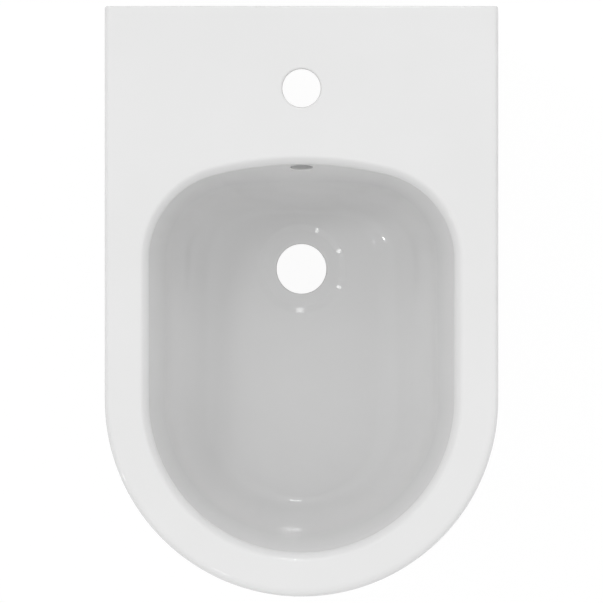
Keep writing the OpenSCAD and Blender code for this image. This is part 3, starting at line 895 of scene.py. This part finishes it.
def threaded_shank(start, end):
    """A shank with a real thread: one wave of it, spun with a rise of one pitch to the turn."""
    bm = bmesh.new()
    root = SCREW_R - THREAD_DEPTH
    wave = [(0, SCREW_R), (0.12, SCREW_R), (0.45, root), (0.67, root), (1, SCREW_R)]
    first_x = start - THREAD_PITCH
    chain(bm, [(first_x + share * THREAD_PITCH, r, 0) for share, r in wave])
    turns = int((end - start) / THREAD_PITCH) + 2
    bmesh.ops.spin(
        bm, geom=bm.verts[:] + bm.edges[:], cent=(0, 0, 0), axis=(1, 0, 0), angle=2 * pi * turns,
        steps=THREAD_STEPS * turns, dvec=(THREAD_PITCH / THREAD_STEPS, 0, 0),
    )
    bmesh.ops.remove_doubles(bm, verts=bm.verts, dist=WELD)
    for cut_x, outwards in ((start, -1), (end, 1)):
        everything = bm.verts[:] + bm.edges[:] + bm.faces[:]
        bmesh.ops.bisect_plane(
            bm, geom=everything, dist=FINE_WELD, plane_co=(cut_x, 0, 0), plane_no=(outwards, 0, 0),
            clear_outer=True,
        )
    bmesh.ops.holes_fill(bm, edges=[e for e in bm.edges if e.is_boundary])
    return finished(bm, 0)


def hexagon(x, radius):
    """Corners of a hexagon round the X axis."""
    return [(x, y, z) for y, z in arc((0, 0), radius, 0, 360, 6)]


def screw():
    """Pan head socket screw: threaded shank, turned head and a hexagon socket."""
    start, end, head_r = span("side_screw_right")
    head_x = span("screw_washer_right")[1]
    head = [(head_x, 0), (head_x, head_r), (end, head_r), (end, 0)]
    piece = solid_piece("screw", threaded_shank(start, head_x + HEAD_OVERLAP))
    carve(piece, turned(softened(head, [HEAD_EDGE_R, HEAD_DOME_R])), "UNION")
    carve(piece, prism(hexagon(end - (end - head_x) / 2, head_r / 2), (SOCKET_CUT, 0, 0)))
    return piece


NUT_FACE = 0.96
NUT_TURNED = 0.45
NUT_SPARE = 0.1 * MM
NUT_WIDE = 1.5


def nut():
    """Square nut, whose corners on one face are turned off to a cone."""
    low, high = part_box("bracket_nut_right")
    half, thick = (high.y - low.y) / 2, high.x - low.x
    bore_r = SCREW_R + THREAD_GAP
    square = [(low.x, y, z) for y, z in ((-half, -half), (half, -half), (half, half), (-half, half))]
    piece = solid_piece("nut", prism(square, (thick, 0, 0)))
    cone = [
        (low.x, 0), (low.x, half * NUT_FACE),
        (low.x + thick * NUT_TURNED, half * sqrt(2) + NUT_SPARE), (high.x, half * NUT_WIDE),
        (high.x, 0),
    ]
    carve(piece, turned(cone), "INTERSECT")
    bore = [(low.x - MM, 0), (low.x - MM, bore_r), (high.x + MM, bore_r), (high.x + MM, 0)]
    carve(piece, turned(bore))
    return piece


# %% The bracket
BRACKET_SOFT = 0.6 * MM
FLAT_ANGLE = 2
SHARP_ANGLE = 40


def bracket(hand):
    """The moulded bracket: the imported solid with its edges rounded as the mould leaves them."""
    bm = bmesh.new()
    bm.from_mesh(bpy.data.objects["floor_bracket_" + hand].data)
    bmesh.ops.remove_doubles(bm, verts=bm.verts, dist=WELD)
    bmesh.ops.dissolve_limit(bm, angle_limit=radians(FLAT_ANGLE), verts=bm.verts, edges=bm.edges)
    sharp = [e for e in bm.edges if e.calc_face_angle(0) > radians(SHARP_ANGLE)]
    bmesh.ops.bevel(
        bm, geom=sharp, offset=BRACKET_SOFT, segments=3, profile=0.5, affect="EDGES",
        clamp_overlap=True, material=-1,
    )
    return solid_piece("bracket", bm)


kit_pieces = []


def place(name, piece, node, body="body"):
    """Names a finished piece, lets it ride on its body and puts it in its node's place."""
    kit_pieces.append(piece)
    piece.name = name
    shade(piece)
    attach(piece, body)
    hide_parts(node)


def moved(piece, side):
    """Moves a piece from the X axis to the screw's axis. A turn keeps the left threads true."""
    bm = bmesh.new()
    bm.from_mesh(piece.data)
    if side < 0:
        bmesh.ops.rotate(bm, cent=(0, 0, 0), matrix=Matrix.Rotation(pi, 3, "Z"), verts=bm.verts)
    bmesh.ops.translate(bm, vec=(0, FIXING_Y, FIXING_Z), verts=bm.verts)
    bm.to_mesh(piece.data)
    bm.free()
    return piece


for side, hand in ((-1, "left"), (1, "right")):
    place("bracket_" + hand, bracket(hand), "floor_bracket_" + hand)
    place("nut_" + hand, moved(nut(), side), "bracket_nut_" + hand)
    place("bush_" + hand, moved(bush(), side), "side_bush_" + hand)
    place("washer_" + hand, moved(washer(), side), "screw_washer_" + hand)
    place("screw_" + hand, moved(screw(), side), "side_screw_" + hand)
    place("cap_" + hand, moved(cap(), side), "cover_cap_" + hand, "cap_" + hand)

# %% [markdown]
# ## Materials
#
# Every finish here is procedural and sits on object coordinates, in metres, so it stays in place
# when a cap is pulled and keeps its grain at any size of picture. Small helpers add a node, fill
# its inputs and vary a value by a noise. Image textures could be painted instead, but a noise has
# no seams on these closed skins and needs no unwrapping.

# %% Helpers for materials
NOISE_LOW, NOISE_HIGH = 0.3, 0.7
TINT_LOW, TINT_HIGH = 0.35, 0.65


def feed(target, inputs):
    """Gives a node's inputs plain values, or links from other nodes' outputs."""
    for key, value in inputs.items():
        if isinstance(value, bpy.types.NodeSocket):
            target.id_data.links.new(value, target.inputs[key])
        else:
            target.inputs[key].default_value = value


def node(tree, kind, inputs, output=0, **settings):
    """Adds a shader node with these settings and inputs. Returns one of its output sockets."""
    made = tree.nodes.new("ShaderNode" + kind)
    for key, value in settings.items():
        setattr(made, key, value)
    feed(made, inputs)
    return made.outputs[output]


def new_material(name, colour, roughness):
    """A material with plain values, its node tree and its Principled shader."""
    finish = bpy.data.materials.new(name)
    finish.use_nodes = True
    finish.diffuse_color = (*colour, 1)
    shader = finish.node_tree.nodes["Principled BSDF"]
    feed(shader, {"Base Color": (*colour, 1), "Roughness": roughness})
    return finish, finish.node_tree, shader


def grain(tree, size, detail=3.0, stretch=(1, 1, 1)):
    """A noise whose features measure about that size in metres."""
    at = node(tree, "TexCoord", {}, "Object")
    scaled = node(tree, "VectorMath", {0: at, 1: stretch}, operation="MULTIPLY")
    return node(tree, "TexNoise", {"Vector": scaled, "Scale": 1 / size, "Detail": detail}, "Fac")


def vary(tree, source, low, high, start=NOISE_LOW, end=NOISE_HIGH):
    """A plain value that goes from low to high while the source goes from start to end."""
    limits = {"From Min": start, "From Max": end, "To Min": low, "To Max": high}
    return node(tree, "MapRange", {"Value": source, **limits}, "Result")


def ramp(tree, source, stops):
    """A colour that follows a source through stops, each a position with its colour."""
    colour = node(tree, "ValToRGB", {"Fac": source}, "Color")
    made = colour.node.color_ramp.elements
    while len(made) < len(stops):
        made.new(0.5)
    for stop, (position, shown) in zip(made, stops.items()):
        stop.position, stop.color = position, (*shown, 1)
    return colour


def tint(tree, source, low, high):
    """A colour between two, by a noise."""
    return ramp(tree, source, {TINT_LOW: low, TINT_HIGH: high})


def bump(tree, source, height):
    """The normals of a surface that is raised along a noise by up to that height in metres."""
    relief = {"Height": source, "Strength": 1, "Distance": height}
    return node(tree, "Bump", relief, "Normal")


# %% [markdown]
# ### Glazed china
#
# The glaze is a layer of clear glass over white opaque glaze and clay. That is a diffuse white
# below and a clear coat above: the coat gives the sharp reflection, and the layer below stays a
# little rougher. Fired glaze is never flat. It has a slow waviness, like orange peel, and its
# tone drifts by one or two per cent. Its colour is also painted darker the lower it lies, down to
# 65 mm below the rim: painted shade for the depth of the bowl, which greys the skirt as well.

# %% Glaze
GLAZE_WHITE = (0.79, 0.79, 0.79)
GLAZE_SHADE = (0.778, 0.778, 0.777)
# Painted shade: the share the glaze's colour is scaled down to, and how far below the rim it takes
PAINTED_SHADE_TONE = 0.853
PAINTED_SHADE_DEPTH = 65 * MM
GLAZE_ROUGH = 0.16
glaze, tree, shader = new_material("glazed_china", GLAZE_WHITE, GLAZE_ROUGH)
drift = tint(tree, grain(tree, 90 * MM), GLAZE_SHADE, GLAZE_WHITE)
height = node(tree, "SeparateXYZ", {0: node(tree, "TexCoord", {}, "Object")}, "Z")
# Painted shade: the glaze's colour is darker the lower it lies, standing in for the bowl's depth
painted_shade = vary(tree, height, PAINTED_SHADE_TONE, 1, RIM_Z - PAINTED_SHADE_DEPTH, RIM_Z)
waves = bump(tree, grain(tree, 14 * MM, 1.0), 0.02 * MM)
feed(shader, {
    "Base Color": node(tree, "VectorMath", {0: drift, "Scale": painted_shade}, operation="SCALE"),
    "Roughness": vary(tree, grain(tree, 30 * MM), 0.12, 0.2),
    "Specular IOR Level": 0.3, "Coat Weight": 1, "Coat Roughness": 0.05,
    "Normal": waves, "Coat Normal": waves,
})
print(glaze.name, len(tree.nodes), "nodes")

# %% [markdown]
# ### Bare china
#
# Inside, the clay is left bare. It is warmer than the glaze, quite matt, finely pitted, and
# speckled with grog.

# %% Bisque
BISQUE_LIGHT = (0.80, 0.775, 0.72)
BISQUE_DARK = (0.71, 0.68, 0.62)
bisque, tree, shader = new_material("bare_china", BISQUE_LIGHT, 0.85)
feed(shader, {
    "Base Color": tint(tree, grain(tree, 35 * MM, 8.0), BISQUE_DARK, BISQUE_LIGHT),
    "Roughness": vary(tree, grain(tree, 6 * MM), 0.75, 0.95),
    "Normal": bump(tree, grain(tree, 1.5 * MM, 6.0), 0.15 * MM),
})
for finish in (glaze, bisque):
    china.data.materials.append(finish)
print(bisque.name, "is slot", BARE, "of the china")

# %% [markdown]
#
# The bracket is glass-filled nylon from a spark-eroded mould: matt, with a fine grain. The bush
# is plain white nylon, and the cap is polished so that it goes with the glaze. The screws, nuts
# and washers are zinc plated: a bright grey metal with cloudy patches, and fine turning marks
# round the axis.

# %% Plastics
PLASTIC_IOR = 1.53


def plastic(name, light, dark, smooth, rough, relief, size):
    """A moulded plastic between two tones and two roughnesses. Its relief's grain has that size."""
    finish, tree, shader = new_material(name, light, smooth)
    feed(shader, {
        "Base Color": tint(tree, grain(tree, 12 * MM), dark, light),
        "Roughness": vary(tree, grain(tree, 4 * MM), smooth, rough),
        "Normal": bump(tree, grain(tree, size, 2.0), relief),
        "IOR": PLASTIC_IOR,
    })
    return finish


grey_nylon = plastic(
    "grey_nylon", (0.43, 0.44, 0.45), (0.39, 0.4, 0.41), 0.45, 0.62, 0.04 * MM, 0.5 * MM
)
white_nylon = plastic(
    "white_nylon", (0.82, 0.82, 0.8), (0.78, 0.78, 0.755), 0.38, 0.5, 0.02 * MM, 0.6 * MM
)
white_cap = plastic(
    "white_cap", (0.88, 0.88, 0.87), (0.865, 0.865, 0.853), 0.12, 0.2, 0.008 * MM, 5 * MM
)

# %% Zinc plate
zinc, tree, shader = new_material("plated_steel", (0.66, 0.67, 0.68), 0.3)
feed(shader, {
    "Base Color": tint(tree, grain(tree, 3 * MM, 5.0), (0.6, 0.61, 0.62), (0.7, 0.71, 0.72)),
    "Roughness": vary(tree, grain(tree, 0.8 * MM), 0.22, 0.38),
    "Normal": bump(tree, grain(tree, 0.4 * MM, 2.0, (4, 1, 1)), 0.01 * MM),
    "Metallic": 1,
})

kit_finishes = {
    "bracket": grey_nylon, "bush": white_nylon, "cap": white_cap,
    "nut": zinc, "washer": zinc, "screw": zinc,
}
for piece in kit_pieces:
    finish = kit_finishes[piece.name.split("_")[0]]
    piece.data.materials.clear()
    piece.data.materials.append(finish)
    print(piece.name, "gets", finish.name)

# %% [markdown]
# ## Floor and daylight
#
# The photograph is a studio shot on plain white, lit softly from all round, a little more from
# the back, and least from straight above. The world gives that light: its brightness falls
# towards the zenith and leans to the back. Camera and clear rays see plain white instead. The
# glaze mirrors white overhead and a greyer wall all round, which draws its edges. Lamps alone
# could light it, but it would take a ring of large ones for shadows this soft.

# %% The world
SKY_TONES = {0.0: 0.1, 0.35: 0.4, 0.5: 1.0, 0.68: 1.0, 0.78: 0.42, 1.0: 0.2}
LEAN = Vector((0, 1, 0))
LEAN_SHARE = 0.1
SKY_STRENGTH = 1.665
MIRRORED_WALL = 0.68

world = bpy.data.worlds.new("studio")
bpy.context.scene.world = world
world.use_nodes = True
tree = world.node_tree
sky = tree.nodes["Background"]


def larger(tree, one, other):
    """The larger of two values."""
    return node(tree, "Math", {0: one, 1: other}, operation="MAXIMUM")


def along(tree, vector, direction):
    """Share of a direction in the ray's own, from -1 to 1."""
    return node(tree, "VectorMath", {0: vector, 1: direction}, "Value", operation="DOT_PRODUCT")


def linear(tree, source, factor, offset):
    """The source times a factor, plus an offset."""
    return node(tree, "Math", {0: source, 1: factor, 2: offset}, operation="MULTIPLY_ADD")


def clear_rays(tree):
    """1 for rays from the camera or through glass, else 0."""
    kinds = tree.nodes.new("ShaderNodeLightPath").outputs
    return larger(tree, kinds["Is Camera Ray"], kinds["Is Transmission Ray"])


def grey(tone):
    """A colour of that tone without a tint."""
    return (tone, tone, tone)


ray = node(tree, "TexCoord", {}, "Generated")
rise = along(tree, ray, (0, 0, 1))
feed(sky, {
    "Color": ramp(tree, rise, {position: grey(tone) for position, tone in SKY_TONES.items()}),
    "Strength": linear(tree, along(tree, ray, LEAN), LEAN_SHARE * SKY_STRENGTH, SKY_STRENGTH),
})
clear = clear_rays(tree)
mirrored = linear(tree, rise, 1 - MIRRORED_WALL, MIRRORED_WALL)
white = node(tree, "Background", {"Color": larger(tree, mirrored, clear)})
not_lighting = larger(tree, clear, node(tree, "LightPath", {}, "Is Glossy Ray"))
seen = node(tree, "MixShader", {0: not_lighting, 1: sky.outputs[0], 2: white})
feed(tree.nodes["World Output"], {"Surface": seen})
print("world:", len(tree.nodes), "nodes")

# %% [markdown]
# A key light shines from high at the back left and adds about 7 per cent to the light on the
# deck. The rim throws its soft shadow on the left wall and under the back of the rim, where the
# photograph is darkest. A sun lamp fits: its rays are parallel, and its angle says how soft the
# shadow's edge is. A large area lamp would do the same with more noise. The glaze doesn't mirror
# it, because the world's ramp already stands for what is mirrored.

# %% The key light
KEY_HEADING = 146
KEY_RISE = 54
KEY_STRENGTH = 0.3
KEY_SOFTNESS = 8
LAMP_AWAY = 3.0


def direction(heading, rise):
    """The direction towards a heading and a rise above the horizon, in degrees."""
    flat = Vector((cos(radians(heading)), sin(radians(heading)), 0)) * cos(radians(rise))
    return flat + Vector((0, 0, sin(radians(rise))))


def add_lamp(name, kind, towards):
    """A lamp in that direction, which shines at the rim's middle."""
    lamp = bpy.data.objects.new(name, bpy.data.lights.new(name, kind))
    lamp.location = Vector((0, 0, RIM_Z)) + towards * LAMP_AWAY
    lamp.rotation_euler = towards.to_track_quat("Z", "Y").to_euler()
    bpy.context.scene.collection.objects.link(lamp)
    return lamp


key_light = add_lamp("key_light", "SUN", direction(KEY_HEADING, KEY_RISE))
key_light.data.energy = KEY_STRENGTH
key_light.data.angle = radians(KEY_SOFTNESS)
key_light.visible_glossy = False
print("key light at", [round(x, 2) for x in key_light.location])

# %% [markdown]
# Two softboxes stand behind the object and on its left, and four small lamps hang high above it.
# Only the glaze's reflection sees them. The softboxes give the short bright lines along the lip
# and in the bowl. The lamps stand where the seat's slope mirrors them to the camera, and give the
# fine specks round the waste.

# %% The softboxes and lamps
SPECK_RISE = 68.3


def softbox(name, heading, rise, size, glow):
    """A square lamp that only the glaze mirrors."""
    lamp = add_lamp(name, "AREA", direction(heading, rise))
    lamp.data.size = size
    lamp.data.energy = glow * pi * size**2
    lamp.visible_diffuse = False
    lamp.visible_camera = False
    print(name, "is", size, "m wide")


softbox("softbox_back", 86, 44, 0.3, 10.0)
softbox("softbox_left", 206, 38, 0.12, 30.0)
SPECKS = ((88, 0.17, 5.0), (153, 0.08, 7.5), (204, 0.08, 8.0), (247, 0.08, 9.0))
for heading, size, glow in SPECKS:
    softbox(f"lamp_{heading}", heading, SPECK_RISE, size, glow)

# %% [markdown]
# The floor is a wide white sheet. To the camera it is nearly all glow, which is how white paper
# looks in such a shot, and a small share of real white paint keeps the object's shadow on it. The
# glaze mirrors it as plain paper.

# %% The floor
FLOOR_SIZE = 12.0
FLOOR_WHITE = 0.9
FLOOR_GLOW = 0.95
FLOOR_PAINT = 0.06
bm = bmesh.new()
bmesh.ops.create_grid(bm, x_segments=1, y_segments=1, size=FLOOR_SIZE / 2)
floor = solid_piece("floor", bm)
paper, tree, shader = new_material("floor_paper", grey(FLOOR_WHITE), FLOOR_WHITE)
glow = node(tree, "Emission", {"Color": (*grey(FLOOR_GLOW), 1)})
paint = node(tree, "BsdfDiffuse", {"Color": (*grey(FLOOR_PAINT), 1)})
seen = node(tree, "AddShader", {0: glow, 1: paint})
choice = node(tree, "MixShader", {0: clear_rays(tree), 1: shader.outputs[0], 2: seen})
feed(tree.nodes["Material Output"], {"Surface": choice})
floor.data.materials.append(paper)
print("floor", FLOOR_SIZE, "m wide")

# %% [markdown]
# ## Camera
#
# The photograph looks straight down from far away, with the wall side at the top of the picture.
# Its scale is the one behind the object's size: the picture is 551 mm wide.

# %% The camera
PHOTO_WIDTH = 551.35 * MM
PHOTO_SHIFT = 0.165 * MM
CAMERA_HEIGHT = 15.0
SENSOR_WIDTH = 36
CLIP_END = 100
camera_data = bpy.data.cameras.new("camera")
camera = bpy.data.objects.new("camera", camera_data)
bpy.context.scene.collection.objects.link(camera)
camera.location = (0, -PHOTO_SHIFT, RIM_Z + CAMERA_HEIGHT)
camera_data.sensor_width = SENSOR_WIDTH
camera_data.lens = SENSOR_WIDTH * CAMERA_HEIGHT / PHOTO_WIDTH
camera_data.clip_end = CLIP_END
bpy.context.scene.camera = camera
bpy.context.scene.view_settings.view_transform = "Standard"
print("lens", round(camera_data.lens, 1), "mm")
